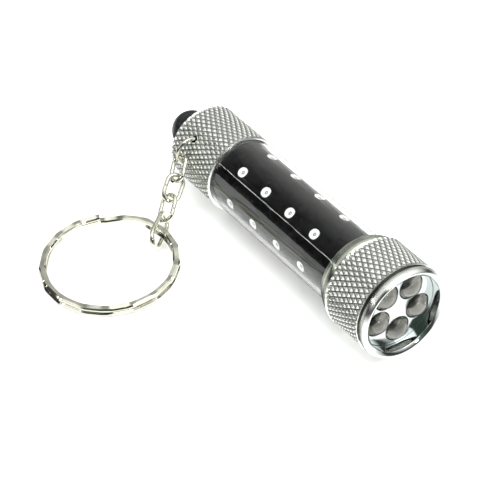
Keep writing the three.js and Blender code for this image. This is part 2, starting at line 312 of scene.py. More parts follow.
def material(name, base, roughness, metallic=0.0, noise=0.04, scale=900.0, bump=0.0,
             bump_scale=3000.0, **sockets):
    """A procedural finish: colour and roughness both vary a little over the surface."""
    m = bpy.data.materials.new(name)
    m.use_nodes = True
    nodes, links = m.node_tree.nodes, m.node_tree.links
    shader = nodes["Principled BSDF"]
    where = nodes.new("ShaderNodeTexCoord")
    cloud = nodes.new("ShaderNodeTexNoise")
    cloud.inputs["Scale"].default_value = scale
    cloud.inputs["Detail"].default_value = 4
    links.new(where.outputs["Object"], cloud.inputs["Vector"])
    tint = nodes.new("ShaderNodeValToRGB")
    low = [max(0.0, c * (1 - noise)) for c in base]
    high = [min(1.0, c * (1 + noise)) for c in base]
    tint.color_ramp.elements[0].position = 0.3
    tint.color_ramp.elements[1].position = 0.7
    tint.color_ramp.elements[0].color = (*low, 1)
    tint.color_ramp.elements[1].color = (*high, 1)
    links.new(cloud.outputs["Fac"], tint.inputs["Fac"])
    links.new(tint.outputs["Color"], shader.inputs["Base Color"])
    wear = nodes.new("ShaderNodeMapRange")
    wear.inputs["To Min"].default_value = roughness * 0.85
    wear.inputs["To Max"].default_value = min(1.0, roughness * 1.2)
    links.new(cloud.outputs["Fac"], wear.inputs["Value"])
    links.new(wear.outputs["Result"], shader.inputs["Roughness"])
    shader.inputs["Metallic"].default_value = metallic
    if bump:
        grain = nodes.new("ShaderNodeTexNoise")
        grain.inputs["Scale"].default_value = bump_scale
        grain.inputs["Detail"].default_value = 3
        links.new(where.outputs["Object"], grain.inputs["Vector"])
        raised = nodes.new("ShaderNodeBump")
        raised.inputs["Strength"].default_value = bump
        raised.inputs["Distance"].default_value = 0.00005
        links.new(grain.outputs["Fac"], raised.inputs["Height"])
        links.new(raised.outputs["Normal"], shader.inputs["Normal"])
    for socket, value in sockets.items():
        shader.inputs[socket.replace("_", " ")].default_value = value
    return m


def paint_shade_by(m, attribute, dark, roughness):
    """Where the named number is high, such as deep in a groove, the finish is darker: painted shade."""
    nodes, links = m.node_tree.nodes, m.node_tree.links
    shader = nodes["Principled BSDF"]
    depth = nodes.new("ShaderNodeAttribute")
    depth.attribute_name = attribute
    ramp = nodes.new("ShaderNodeValToRGB")
    ramp.color_ramp.elements[0].position = 0.58
    ramp.color_ramp.elements[1].position = 0.95
    ramp.color_ramp.elements[0].color = (0, 0, 0, 1)
    ramp.color_ramp.elements[1].color = (1, 1, 1, 1)
    links.new(depth.outputs["Fac"], ramp.inputs["Fac"])
    old = shader.inputs["Base Color"].links[0].from_socket
    mix = nodes.new("ShaderNodeMix")
    mix.data_type = "RGBA"
    links.new(ramp.outputs["Color"], mix.inputs[0])
    links.new(old, mix.inputs[6])
    mix.inputs[7].default_value = (*dark, 1)
    links.new(mix.outputs[2], shader.inputs["Base Color"])
    rough = shader.inputs["Roughness"].links[0].from_socket
    mix_rough = nodes.new("ShaderNodeMix")
    links.new(ramp.outputs["Color"], mix_rough.inputs[0])
    links.new(rough, mix_rough.inputs[2])
    mix_rough.inputs[3].default_value = roughness
    links.new(mix_rough.outputs[0], shader.inputs["Roughness"])
    return m


def turning_lines(m, strength, pitch):
    """Fine lathe marks: rings round the flashlight's own axis."""
    nodes, links = m.node_tree.nodes, m.node_tree.links
    shader = nodes["Principled BSDF"]
    where = nodes.new("ShaderNodeTexCoord")
    wave = nodes.new("ShaderNodeTexWave")
    wave.wave_type = "BANDS"
    wave.bands_direction = "X"
    wave.inputs["Scale"].default_value = 1 / (pitch * MM) / 3.2
    wave.inputs["Distortion"].default_value = 0.6
    wave.inputs["Detail"].default_value = 2
    links.new(where.outputs["Object"], wave.inputs["Vector"])
    raised = nodes.new("ShaderNodeBump")
    raised.inputs["Strength"].default_value = strength
    raised.inputs["Distance"].default_value = 0.00002
    links.new(wave.outputs["Fac"], raised.inputs["Height"])
    links.new(raised.outputs["Normal"], shader.inputs["Normal"])
    return m


# Painted shade: the knurl's grooves are darkened by their depth.
knurled_metal = paint_shade_by(
    material("knurled_metal", (0.955, 0.965, 0.935), 0.27, 1.0, 0.03, 700, bump=0.15),
    "groove", (0.07, 0.085, 0.065), 0.5)
turned_metal = turning_lines(
    material("turned_metal", (0.84, 0.855, 0.83), 0.16, 1.0, 0.03, 500), 0.25, 0.06)
# Painted shade: near-black metal for the head's two grooves and the cap's front face, where shade falls.
shade_painted_metal = material("shade_painted_metal", (0.10, 0.115, 0.09), 0.45, 1.0, 0.1, 900, bump=0.2)
# Painted shade: a darker copy of turned_metal for the head's rear collar.
collar_painted_shade_metal = turning_lines(
    material("collar_painted_shade_metal", (0.52, 0.55, 0.48), 0.14, 1.0, 0.04, 500), 0.25, 0.06)
# Painted shade: dark grey for the walls of the small ring groove in each dot.
dot_groove_shade_metal = material("dot_groove_shade_metal", (0.22, 0.22, 0.22), 0.4, 1.0, 0.1, 3000, bump=0.2)
mirror_metal = material("mirror_metal", (0.64, 0.68, 0.67), 0.035, 1.0, 0.02, 300)
cut_metal = material("cut_metal", (0.96, 0.96, 0.95), 0.45, 0.2, 0.03, 2500, bump=0.2)
gloss_black = material("gloss_black", (0.006, 0.006, 0.0065), 0.07, 0.0, 0.25, 800,
                       Specular_IOR_Level=0.15)
clear_acrylic = material("clear_acrylic", (0.985, 0.99, 0.99), 0.012, 0.0, 0.006, 200,
                         IOR=1.46, Transmission_Weight=1.0)
button_black = material("button_black", (0.005, 0.007, 0.007), 0.3, 0.0, 0.2, 1500,
                        bump=0.12, bump_scale=6000)
dark_plastic = material("dark_plastic", (0.02, 0.02, 0.02), 0.45, 0.0, 0.2, 900, bump=0.1)
white_plastic = material("white_plastic", (0.55, 0.56, 0.55), 0.5, 0.0, 0.05, 700, bump=0.1)
plate_silver = turning_lines(
    material("plate_silver", (0.68, 0.72, 0.73), 0.13, 1.0, 0.02, 250), 0.08, 0.2)
epoxy = material("lamp_epoxy", (0.93, 0.95, 0.94), 0.02, 0.0, 0.01, 400, IOR=1.53,
                 Transmission_Weight=1.0)
lead_metal = material("lead_metal", (0.62, 0.62, 0.60), 0.3, 1.0, 0.08, 2000, bump=0.3)
lamp_grey = material("lamp_grey", (0.80, 0.77, 0.70), 0.4, 0.0, 0.25, 1500, bump=0.2)
phosphor = material("phosphor", (0.72, 0.60, 0.22), 0.6, 0.0, 0.1, 5000, bump=0.2)
board_green = material("board_green", (0.03, 0.16, 0.07), 0.4, 0.0, 0.15, 1500, bump=0.1)
steel_can = material("steel_can", (0.66, 0.67, 0.68), 0.22, 1.0, 0.05, 900, bump=0.1)
spring_wire = material("spring_wire", (0.58, 0.59, 0.60), 0.3, 1.0, 0.08, 2500, bump=0.25)
brass = material("brass", (0.78, 0.58, 0.24), 0.25, 1.0, 0.06, 1500, bump=0.15)
rubber = material("rubber", (0.02, 0.02, 0.02), 0.75, 0.0, 0.3, 2500, bump=0.4)
nickel = material("nickel", (0.70, 0.69, 0.60), 0.08, 1.0, 0.04, 900, bump=0.12,
                  bump_scale=1800)
ring_nickel = material("ring_nickel", (0.70, 0.69, 0.60), 0.09, 1.0, 0.05, 600, bump=0.2,
                       bump_scale=1500)


# ---------------------------------------------------------------- knurling

def triangle_wave(x):
    return 1 - np.abs(2 * (x - np.floor(x)) - 1)


def knurl_height(s, a, start, end, diamonds):
    """0 at the bottom of a groove to 1 on a diamond's top, and 1 outside the knurl."""
    u = a * diamonds / TAU + (s - start) / KNURL_AXIAL
    v = a * diamonds / TAU - (s - start) / KNURL_AXIAL
    h = np.minimum(triangle_wave(u), triangle_wave(v))
    h = np.clip(h * KNURL_CREST, 0, 1)
    fade = np.clip(np.minimum(s - start, end - s) / KNURL_FADE, 0, 1)
    return 1 - (1 - h) * fade


def knurled_stations(start, end):
    count = int(round((end - start) / (KNURL_AXIAL / 8)))
    return [start + (end - start) * i / count for i in range(count + 1)]


def knurled_part(name, outline, zone, radius, diamonds, materials, material_of):
    """A turned piece whose outside is knurled between the zone's two stations. Its outline
    holds the word "knurl" where the knurled rows go."""
    rows = []
    for point in outline:
        if point == "knurl":
            rows += [(s, radius) for s in knurled_stations(*zone)]
        else:
            rows.append(point)

    def in_zone(s, r):
        return (s >= zone[0] - 1e-6) & (s <= zone[1] + 1e-6) & (r > radius - 0.02)

    def shape(s, a, r):
        h = knurl_height(s, a, zone[0], zone[1], diamonds)
        return np.where(in_zone(s, r), r - KNURL_DEPTH * (1 - h), r)

    segments = diamonds * 8
    obj = turned(name, rows, segments, shape=shape, sharp=50, materials=materials,
                 material_of=material_of)
    s = np.repeat(np.array([p[0] for p in rows])[:, None], segments, 1)
    r = np.repeat(np.array([p[1] for p in rows])[:, None], segments, 1)
    a = np.repeat((np.arange(segments) * TAU / segments)[None, :], len(rows), 0)
    depth = np.where(in_zone(s, r), 1 - knurl_height(s, a, *zone, diamonds), 0)
    # The groove depth drives the knurl's painted shade.
    tag_depth(obj, "groove", depth.ravel())
    return obj


# ---------------------------------------------------------------- tail cap

cap_zone = (0.4, CAP_LENGTH - 0.16)
cap_outline = (
    [(0.15, BUTTON_HOLE), (0.06, BUTTON_HOLE + 0.05), (0.0, BUTTON_HOLE + 0.15)]
    + [(0.0, 7.3), (0.03, 7.45), (0.12, 7.58), (0.24, 7.72), (0.34, 7.8)]
    + ["knurl"]
    + [(CAP_LENGTH - 0.1, 7.77), (CAP_LENGTH - 0.04, 7.6), (CAP_LENGTH, 7.4)]
    + [(CAP_LENGTH, SEAL_BORE + 0.05), (CAP_LENGTH - 0.05, SEAL_BORE),
       (CAP_LENGTH - SEAL_DEPTH + 0.05, SEAL_BORE), (CAP_LENGTH - SEAL_DEPTH, SEAL_BORE - 0.05),
       (CAP_LENGTH - SEAL_DEPTH, THREAD_BORE + 0.05),
       (CAP_LENGTH - SEAL_DEPTH - 0.05, THREAD_BORE),
       (CAP_SHOULDER + 0.05, THREAD_BORE), (CAP_SHOULDER, THREAD_BORE - 0.05),
       (CAP_SHOULDER, BUTTON_HOLE + 0.05), (CAP_SHOULDER - 0.05, BUTTON_HOLE)])


def cap_material(point):
    station, radius = point
    # The cap's front face, next to the sleeve, gets the painted shade.
    if station > CAP_LENGTH - 0.12 and SEAL_BORE < radius < 7.5:
        return 2
    return 0 if radius > CAP_RADIUS - 0.05 else 1


tail_cap = knurled_part("tail_cap_knurled", cap_outline, cap_zone, CAP_RADIUS, CAP_DIAMONDS,
                        [knurled_metal, turned_metal, shade_painted_metal], cap_material)

jump_centre = Vector(joints["jump_ring_spin"]["pos_m"])
JUMP = Matrix.Translation(jump_centre) @ TORCH.to_3x3().to_4x4()


def hoop_path(radius, count):
    """Centres, side directions and outward directions of a circle across +X."""
    angles = [TAU * i / count for i in range(count)]
    outs = [(0, -math.cos(t), math.sin(t)) for t in angles]
    centres = [tuple(radius * c for c in o) for o in outs]
    return centres, [(1, 0, 0)] * len(angles), outs


def round_section(radius, sides, flat=1.0):
    return [(radius * math.cos(TAU * k / sides), radius * flat * math.sin(TAU * k / sides))
            for k in range(sides)]


TUNNEL_STEPS = 72
centres, sides, outs = hoop_path(JUMP_RADIUS, TUNNEL_STEPS)
tunnel = swept("tunnel", centres, sides, outs,
               [round_section(EYELET_BORE, 24)] * TUNNEL_STEPS, JUMP,
               materials=[turned_metal])
cut(tail_cap, tunnel, 50)
place(tail_cap, "tail_cap", "bright_aluminium", "tail_cap")

# ---------------------------------------------------------------- push button

DOME_STEPS = 16
dome = [(-BUTTON_PROUD, 0.0)]
for i in range(1, DOME_STEPS + 1):
    t = i / DOME_STEPS * math.pi / 2
    dome.append((-BUTTON_PROUD + BUTTON_DOME * (1 - math.cos(t)), BUTTON_RADIUS * math.sin(t)))
dome += [(-1.6, BUTTON_RADIUS), (0.4, BUTTON_RADIUS), (FLANGE_START - 0.08, BUTTON_RADIUS),
         (FLANGE_START, BUTTON_RADIUS + 0.08), (FLANGE_START, FLANGE_RADIUS - 0.08),
         (FLANGE_START + 0.08, FLANGE_RADIUS), (FLANGE_END - 0.08, FLANGE_RADIUS),
         (FLANGE_END, FLANGE_RADIUS - 0.08), (FLANGE_END, 0.0)]
button = turned("button_dome", dome, 96, axis_ends=True, materials=[button_black])
place(button, "button", "black_plastic", "push_button")

# ---------------------------------------------------------------- return spring

# A cone of wire whose turns nest inside each other when the button is pressed.
SPRING_WIRE = 0.24
SPRING_TURNS = 2.5
SPRING_ENDS = (7.44, 8.66)
SPRING_RADII = (3.9, 2.4)
SPRING_STEPS = 120
centres, sides, outs = [], [], []
for i in range(SPRING_STEPS + 1):
    t = i / SPRING_STEPS
    turn = t * SPRING_TURNS * TAU
    radius = SPRING_RADII[0] + (SPRING_RADII[1] - SPRING_RADII[0]) * t
    station = SPRING_ENDS[0] + (SPRING_ENDS[1] - SPRING_ENDS[0]) * t
    centres.append((station, -radius * math.cos(turn), radius * math.sin(turn)))
    sides.append((1, 0, 0))
    outs.append((0, -math.cos(turn), math.sin(turn)))
spring = swept("return_spring_cone", centres, sides, outs,
               [round_section(SPRING_WIRE / 2, 10)] * (SPRING_STEPS + 1), TORCH, closed=False,
               materials=[spring_wire])
place(spring, "tail_cap", "spring_steel", "return_spring")
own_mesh(spring)

# ---------------------------------------------------------------- battery tube

TUBE_EDGE = TUBE_RADIUS - 0.13
THREAD_ROWS = 8  # in each millimetre
thread_zones = [(TUBE_START + 0.3, CAP_LENGTH - SEAL_DEPTH), (HEAD_START + 1.2, TUBE_END - 0.3)]


def threaded(s, a, r):
    outer = r > TUBE_RADIUS - 0.01
    for start, end in thread_zones:
        inside = outer & (s > start) & (s < end)
        fade = np.clip(np.minimum(s - start, end - s) / 0.4, 0, 1)
        groove = triangle_wave(s / THREAD_PITCH - a / TAU)
        r = np.where(inside, r - THREAD_DEPTH * fade * groove, r)
    return r


tube_rows = [(TUBE_START + 0.05, TUBE_BORE), (TUBE_START, TUBE_BORE + 0.05),
             (TUBE_START, TUBE_EDGE),
             (TUBE_START + 0.13, TUBE_RADIUS)]
for start, end in thread_zones:
    rows = int(round((end - start) * THREAD_ROWS))
    tube_rows += [(start + (end - start) * i / rows, TUBE_RADIUS) for i in range(rows + 1)]
    if start < CAP_LENGTH:
        tube_rows += [(end + 0.12, TUBE_RADIUS), (end + 0.3, TUBE_RADIUS),
                      (HEAD_START + 0.8, TUBE_RADIUS), (HEAD_START + 1.0, TUBE_RADIUS)]
tube_rows += [(TUBE_END - 0.13, TUBE_RADIUS), (TUBE_END, TUBE_EDGE),
              (TUBE_END, TUBE_BORE + 0.05), (TUBE_END - 0.05, TUBE_BORE)]
tube = turned("battery_tube_cut", tube_rows, 128, shape=threaded, sharp=50,
              materials=[gloss_black])
# Each dot is cut as a shallow bowl with a small ring groove in its middle, whose walls are painted dark grey as
# painted shade.
bowl = (DOT_RADIUS ** 2) / (2 * (DOT_DEPTH - 0.05))
dot_outline = [(-DOT_DEPTH + 0.03, 0.0), (-DOT_DEPTH, 0.14), (-DOT_DEPTH - 0.07, 0.18),
               (-DOT_DEPTH - 0.07, 0.32), (-DOT_DEPTH + 0.02, 0.36)]
dot_outline += [(-DOT_DEPTH + r * r / (2 * bowl), r) for r in (0.6, 0.75, 0.9, 1.0, DOT_RADIUS)]
dot_outline += [(0.5, DOT_RADIUS), (0.5, 0.0)]
dot_verts, dot_faces, dot_owner = lathe(dot_outline, 40, axis_ends=True)
dot_verts, dot_faces = compact(dot_verts, dot_faces)
verts, faces, picks = [], [], []
for row in range(DOT_ROWS):
    angle = math.radians(DOT_FIRST_ROW + row * 360 / DOT_ROWS)
    outward = np.array((0, -math.cos(angle), math.sin(angle)))
    across = np.array((0, math.sin(angle), math.cos(angle)))
    for station in DOT_STATIONS:
        base = len(verts)
        centre = np.array((station, 0, 0)) + outward * TUBE_RADIUS
        for x, y, z in dot_verts:
            verts.append(centre + outward * x + across * y + np.array((z, 0, 0)))
        faces += [tuple(base + i for i in f) for f in dot_faces]
        picks += [1 if i in (1, 2, 3) else 0 for i in dot_owner]
cutter = new_object("dot_cutter", verts, faces, TORCH, 35, [cut_metal, dot_groove_shade_metal], picks)
cut(tube, cutter, 50)
place(tube, "barrel", "black_anodised", "battery_tube")

# ---------------------------------------------------------------- clear sleeve

bore = SLEEVE_RADIUS - SLEEVE_WALL
# Extra rows next to each rounded end keep the long faces truly straight when shaded.
sleeve_start, sleeve_end = CAP_LENGTH + 0.1, HEAD_START - 0.1
sleeve = turned("clear_sleeve_smooth", filleted([
    (sleeve_start, bore, 0.07), (sleeve_start, SLEEVE_RADIUS, 0.07),
    (sleeve_start + 0.25, SLEEVE_RADIUS, 0), (sleeve_start + 0.4, SLEEVE_RADIUS, 0),
    (sleeve_end - 0.4, SLEEVE_RADIUS, 0), (sleeve_end - 0.25, SLEEVE_RADIUS, 0),
    (sleeve_end, SLEEVE_RADIUS, 0.07), (sleeve_end, bore, 0.07),
    (sleeve_end - 0.25, bore, 0), (sleeve_end - 0.4, bore, 0),
    (sleeve_start + 0.4, bore, 0), (sleeve_start + 0.25, bore, 0)]), 160,
    materials=[clear_acrylic])
place(sleeve, "barrel", "clear_acrylic", "clear_sleeve")

# ---------------------------------------------------------------- head

H = HEAD_START
head_zone = (H + 3.22, HEAD_FRONT - 2.28)
head_outline = [
    (H + 0.05, SEAL_BORE), (H, SEAL_BORE + 0.05), (H, 7.55), (H + 0.05, 7.7), (H + 0.16, 7.78),
    (H + 0.3, 7.8), (H + 0.62, 7.8), (H + 0.7, 7.84), (H + 0.78, 7.94), (H + 0.92, 8.14),
    (H + 1.15, 8.34), (H + 1.5, 8.48), (H + 1.9, 8.55), (H + 2.4, 8.56), (H + 2.62, 8.51),
    (H + 2.72, 8.4), (H + 2.74, 8.12), (H + 2.8, 8.06), (H + 3.02, 8.06),
    (H + 3.07, 8.12), (H + 3.1, 8.8), (H + 3.15, 8.99), (H + 3.2, 9.06),
    "knurl",
    (HEAD_FRONT - 2.25, 9.05), (HEAD_FRONT - 2.2, 8.9), (HEAD_FRONT - 2.18, 8.4),
    (HEAD_FRONT - 2.12, 8.32), (HEAD_FRONT - 1.68, 8.32), (HEAD_FRONT - 1.62, 8.4),
    (HEAD_FRONT - 1.6, 8.92), (HEAD_FRONT - 1.56, 9.0), (HEAD_FRONT - 1.45, 9.05),
    (HEAD_FRONT - 0.8, 9.05), (HEAD_FRONT - 0.55, 9.0), (HEAD_FRONT - 0.3, 8.88),
    (HEAD_FRONT - 0.12, 8.74), (HEAD_FRONT - 0.03, 8.66), (HEAD_FRONT, 8.6),
    (HEAD_FRONT, 8.42), (HEAD_FRONT - 0.02, 8.36), (HEAD_FRONT - 0.05, 8.3),
    (HEAD_FRONT - 0.37, 7.76), (HEAD_FRONT - 0.44, 7.71),
    (HEAD_FRONT - 0.54, OPENING_RADIUS), (H + 5.5, OPENING_RADIUS),
    (H + 5.4, OPENING_RADIUS - 0.1), (H + 5.4, THREAD_BORE + 0.1), (H + 5.3, THREAD_BORE),
    (H + 1.1, THREAD_BORE), (H + 1.0, THREAD_BORE + 0.1), (H + 1.0, SEAL_BORE - 0.05),
    (H + 0.95, SEAL_BORE)]


def head_material(point):
    station, radius = point
    if head_zone[0] - 0.06 <= station <= head_zone[1] + 0.02 and radius > 9.04:
        return 0
    if radius <= 8.31 and station > H + 5.45:
        return 2
    # The head's two grooves get the painted shade.
    if radius < 8.45 and (H + 2.7 < station < H + 3.1
                          or HEAD_FRONT - 2.2 < station < HEAD_FRONT - 1.6):
        return 3
    # The rear collar gets the darker, painted-shade copy of the turned finish.
    if 7.4 < radius < 8.8 and station < H + 2.7:
        return 4
    return 1


head_finishes = [knurled_metal, turned_metal, mirror_metal, shade_painted_metal, collar_painted_shade_metal]
head = knurled_part("head_shell_knurled", head_outline, head_zone, HEAD_RADIUS,
                    HEAD_DIAMONDS, head_finishes, head_material)
place(head, "head", "bright_aluminium", "head_shell")


# ---------------------------------------------------------------- plate and lamps

def lamp_angle(i):
    return math.radians(FIRST_LAMP + i * 360 / LAMP_COUNT)


def lamp_centre(i):
    return (-LAMP_CIRCLE * math.cos(lamp_angle(i)), LAMP_CIRCLE * math.sin(lamp_angle(i)))


def pierced_disc(name, start, end, radius, hole, bevel, materials):
    """A disc across the head with a rounded edge at each lamp's hole."""
    curve = bpy.data.curves.new(name, "CURVE")
    curve.dimensions = "2D"
    curve.fill_mode = "BOTH"
    curve.extrude = (end - start) / 2 - bevel
    curve.bevel_depth = bevel
    curve.bevel_resolution = 3
    curve.offset = -bevel
    circles = [((0, 0), radius, 160)]
    circles += [(lamp_centre(i), hole, 64) for i in range(LAMP_COUNT)]
    for (cy, cz), r, count in circles:
        spline = curve.splines.new("POLY")
        spline.points.add(count - 1)
        spline.use_cyclic_u = True
        for k in range(count):
            t = TAU * k / count
            spline.points[k].co = (cy + r * math.cos(t), cz + r * math.sin(t), 0, 1)
    shape = linked(name + "_outline", curve)
    bpy.context.view_layer.update()
    graph = bpy.context.evaluated_depsgraph_get()
    mesh = bpy.data.meshes.new_from_object(shape.evaluated_get(graph))
    bpy.data.objects.remove(shape)
    flat = Matrix(((0, 0, 1, (start + end) / 2), (1, 0, 0, 0), (0, 1, 0, 0), (0, 0, 0, 1)))
    mesh.transform(scaled(TORCH) @ flat)
    mesh.materials.clear()
    for m in materials:
        mesh.materials.append(m)
    mesh.polygons.foreach_set("material_index", np.zeros(len(mesh.polygons), np.int32))
    turn_outward(mesh, merge=1e-7)
    smooth(mesh, 35)
    return linked(name, mesh)


plate = pierced_disc("reflector_plate_silver", PLATE_FRONT - 0.9, PLATE_FRONT,
                     OPENING_RADIUS - 0.05, LAMP_HOLE, 0.1, [plate_silver])
place(plate, "head", "silvered_plate", "reflector_plate")
# The holder is dark plastic as painted shade: it shows only through the gaps round the lamps, as their dark
# outlines.
holder = pierced_disc("led_holder_block", 54.5, PLATE_FRONT - 1, OPENING_RADIUS - 0.15,
                      LAMP_HOLE, 0.08, [dark_plastic])
place(holder, "head", "white_plastic", "led_holder")

LAMP_BODY = LAMP_RADIUS - 0.04
LAMP_DOME = 2.0
LAMP_CUP = [(56.1, 0.0), (56.1, 0.45), (58.2, 0.5), (58.8, 0.95), (59.2, 0.98), (59.2, 0.86),
            (58.85, 0.62), (58.8, 0.0)]
LAMP_CHIP = [(58.82, 0.0), (58.82, 0.5), (59.02, 0.62), (59.1, 0.4), (59.12, 0.0)]
LAMP_FOOT = [(55.7, 0.0), (55.7, 1.75), (55.8, 1.85), (57.6, 1.9), (57.7, 1.75), (57.6, 1.0),
             (57.55, 0.0)]
POST_PATH = [(56.1, 1.35, 0), (58.1, 1.35, 0), (58.7, 1.3, 0), (59.2, 1.15, 0)]
POST_SECTION = filleted([(-0.3, -0.25), (0.3, -0.25), (0.3, 0.25), (-0.3, 0.25)], 0.08, 2)
lamp_rows = [(LAMP_BASE, 0.0), (LAMP_BASE, LAMP_BODY - 0.1), (LAMP_BASE + 0.1, LAMP_BODY)]
lamp_rows += [(LAMP_TIP - LAMP_DOME - 0.6, LAMP_BODY)]
for i in range(DOME_STEPS + 1):
    t = i / DOME_STEPS * math.pi / 2
    lamp_rows.append((LAMP_TIP - LAMP_DOME + LAMP_DOME * math.sin(t), LAMP_BODY * math.cos(t)))
lamp_rows[-1] = (LAMP_TIP, 0.0)
for i in range(LAMP_COUNT):
    cy, cz = lamp_centre(i)
    here = TORCH @ Matrix.Translation((0, cy * MM, cz * MM))
    lamp = turned(f"lamp_{i + 1}", lamp_rows, 64, here, axis_ends=True, materials=[epoxy])
    place(lamp, "head", "lamp_epoxy", f"led_{i + 1}")
    # Inside the clear body: the cup on its post with its chip, a second post, and the foot.
    twisted = here @ Matrix.Rotation(lamp_angle(i), 4, "X")
    cup = turned(f"lamp_cup_{i + 1}", LAMP_CUP, 32, twisted, axis_ends=True,
                 materials=[lead_metal])
    place(cup, "head", "spring_steel")
    chip = turned(f"lamp_chip_{i + 1}", LAMP_CHIP, 24, twisted, axis_ends=True,
                  materials=[phosphor])
    place(chip, "head", "lamp_epoxy")
    rings = len(POST_PATH)
    post = swept(f"lamp_post_{i + 1}", POST_PATH, [(0, 0, 1)] * rings, [(0, 1, 0)] * rings,
                 [POST_SECTION] * rings, twisted, closed=False, materials=[lead_metal])
    place(post, "head", "spring_steel")
    foot = turned(f"lamp_foot_{i + 1}", LAMP_FOOT, 40, twisted, axis_ends=True,
                  materials=[lamp_grey])
    place(foot, "head", "lamp_epoxy")


# ---------------------------------------------------------------- chain

def principal_frame(node):
    """A flat ring's own frame from its CAD mesh: X its length, Y its width, Z across."""
    co = np.array([v.co for v in frame["nodes"][node].data.vertices], float)
    centre = co.mean(0)
    _, vectors = np.linalg.eigh(np.cov((co - centre).T))
    x, y = Vector(vectors[:, 2]), Vector(vectors[:, 1])
    if x.x < 0:
        x.negate()
    if y.z < 0:
        y.negate()
    z = x.cross(y)
    return Matrix.Translation(Vector(centre)) @ Matrix((x, y, z)).transposed().to_4x4()


def stadium(length, width, wire, count=72):
    """The middle line of an oval link: two straight sides and two round ends."""
    radius = (width - wire) / 2
    half = (length - width) / 2
    total = 4 * half + TAU * radius
    points, outs = [], []
    for i in range(count):
        d = total * i / count
        if d < 2 * half:
            points.append((half - d, radius, 0))
            outs.append((0, 1, 0))
        elif d < 2 * half + math.pi * radius:
            t = (d - 2 * half) / radius
            outs.append((-math.sin(t), math.cos(t), 0))
            points.append((-half - radius * math.sin(t), radius * math.cos(t), 0))
        elif d < 4 * half + math.pi * radius:
            points.append((-half + d - 2 * half - math.pi * radius, -radius, 0))
            outs.append((0, -1, 0))
        else:
            t = (d - 4 * half - math.pi * radius) / radius
            outs.append((math.sin(t), -math.cos(t), 0))
            points.append((half + radius * math.sin(t), -radius * math.cos(t), 0))
    return points, outs


LINK_JOIN, LINK_NICK = 4, 0.86
JUMP_STEPS, JUMP_JOIN, JUMP_NICK = 96, 60, 0.85


def chain_link(name, node, body, size):
    length, width, wire = size
    points, outs = stadium(length, width, wire)
    count = len(points)
    sections = []
    for i in range(count):
        # The join, partway along one side, shows as a fine nick.
        nick = LINK_NICK if i == LINK_JOIN else 1.0
        sections.append(round_section(wire / 2 * nick, 18, 0.96))
    obj = swept(name, points, [(0, 0, 1)] * count, outs, sections, principal_frame(node),
                materials=[nickel])
    return place(obj, body, "nickel_plate", node)


for i in (1, 2, 3):
    chain_link(f"chain_link_{i}", f"link_{i}", f"link_{i}", LINK)
chain_link("chain_connector", "connector_link", "connector_link", CONNECTOR)

centres, sides, outs = hoop_path(JUMP_RADIUS, JUMP_STEPS)
sections = [round_section(JUMP_WIRE / 2 * (JUMP_NICK if i == JUMP_JOIN else 1.0), 20)
            for i in range(JUMP_STEPS)]
jump = swept("jump_ring_wire", centres, sides, outs, sections, JUMP, materials=[nickel])
place(jump, "jump_ring", "nickel_plate", "jump_ring")

# ---------------------------------------------------------------- split ring

random.seed(7)
FACETS_PER_TURN = 17
FACET_TILTS = (6, 19)
FACET_SHIFT = 0.03
FACET_FADE = 0.28
FACET_STEPS = 10
ring_middle = Vector(mounts["split_ring"]["pos_m"])
RING = (Matrix.Translation(ring_middle)
        @ Matrix.Rotation(math.radians(RING_HEADING), 4, "Z")
        @ Matrix.Rotation(-math.radians(RING_TILT), 4, "Y"))
jog = math.radians(COIL_JOG)
sweep = 2 * TAU - jog
facet_count = int(math.ceil(sweep / TAU * FACETS_PER_TURN))
facet_tilt = [math.radians(random.choice((-1, 1)) * random.uniform(*FACET_TILTS))
              for _ in range(facet_count + 1)]
facet_shift = [random.uniform(-FACET_SHIFT, FACET_SHIFT) for _ in range(facet_count + 1)]
steps = facet_count * FACET_STEPS
middle_radius = RING_RADIUS - RING_BAND / 2
half_out, half_side = RING_BAND / 2 - 0.02, COIL_THICKNESS / 2 - 0.01
bevel = 0.27
ring_section = filleted([
    (-half_out, -half_side + bevel), (-half_out + bevel, -half_side),
    (half_out - bevel, -half_side), (half_out, -half_side + bevel),
    (half_out, half_side - bevel), (half_out - bevel, half_side),
    (-half_out + bevel, half_side), (-half_out, half_side - bevel)], 0.05, 2)
centres, sides, outs, sections = [], [], [], []
for i in range(steps + 1):
    angle = sweep * i / steps
    place_in = angle / TAU * FACETS_PER_TURN
    k = min(int(place_in), facet_count)
    within = place_in - k
    # The first turn steps up onto the second over the jog.
    rise_t = min(1.0, max(0.0, (angle - (TAU - jog)) / jog))
    rise = rise_t * rise_t * (3 - 2 * rise_t) - 0.5
    # Each facet's twist fades out at its ends.
    edge = min(1.0, min(within, 1 - within) / FACET_FADE)
    edge = edge * edge * (3 - 2 * edge)
    tilt = facet_tilt[k] * edge
    half_angle = math.pi / FACETS_PER_TURN
    chord = math.cos(half_angle) / math.cos((within - 0.5) * 2 * half_angle)
    radius = middle_radius * (1 + 0.55 * (chord - 1)) + facet_shift[k] * edge + 0.08
    out = np.array((math.cos(angle), -math.sin(angle), 0))
    upward = np.array((0.0, 0.0, 1.0))
    centres.append(out * radius + upward * COIL_PITCH * rise)
    outs.append(out * math.cos(tilt) + upward * math.sin(tilt))
    sides.append(upward * math.cos(tilt) - out * math.sin(tilt))
    squeeze = 1 - 0.08 * (1 - abs(2 * within - 1))
    sections.append([(x * squeeze, y) for x, y in ring_section])
ring = swept("split_ring_coil", centres, sides, outs, sections, RING, closed=False, sharp=9,
             materials=[ring_nickel])
place(ring, "split_ring", "nickel_plate", "split_ring")

# ---------------------------------------------------------------- inside pieces

finishes = {
    "cell_1": steel_can, "cell_2": steel_can, "cell_3": steel_can, "cell_4": steel_can,
    "tail_seal": rubber, "head_seal": rubber,
    "switch_plunger": white_plastic, "switch_housing": dark_plastic,
    "battery_spring": spring_wire, "led_board": board_green, "lamp_contact": brass,
}
for node, finish in finishes.items():
    obj = frame["nodes"][node]
    obj.data.materials.clear()
    obj.data.materials.append(finish)

# ---------------------------------------------------------------- floor, light and camera

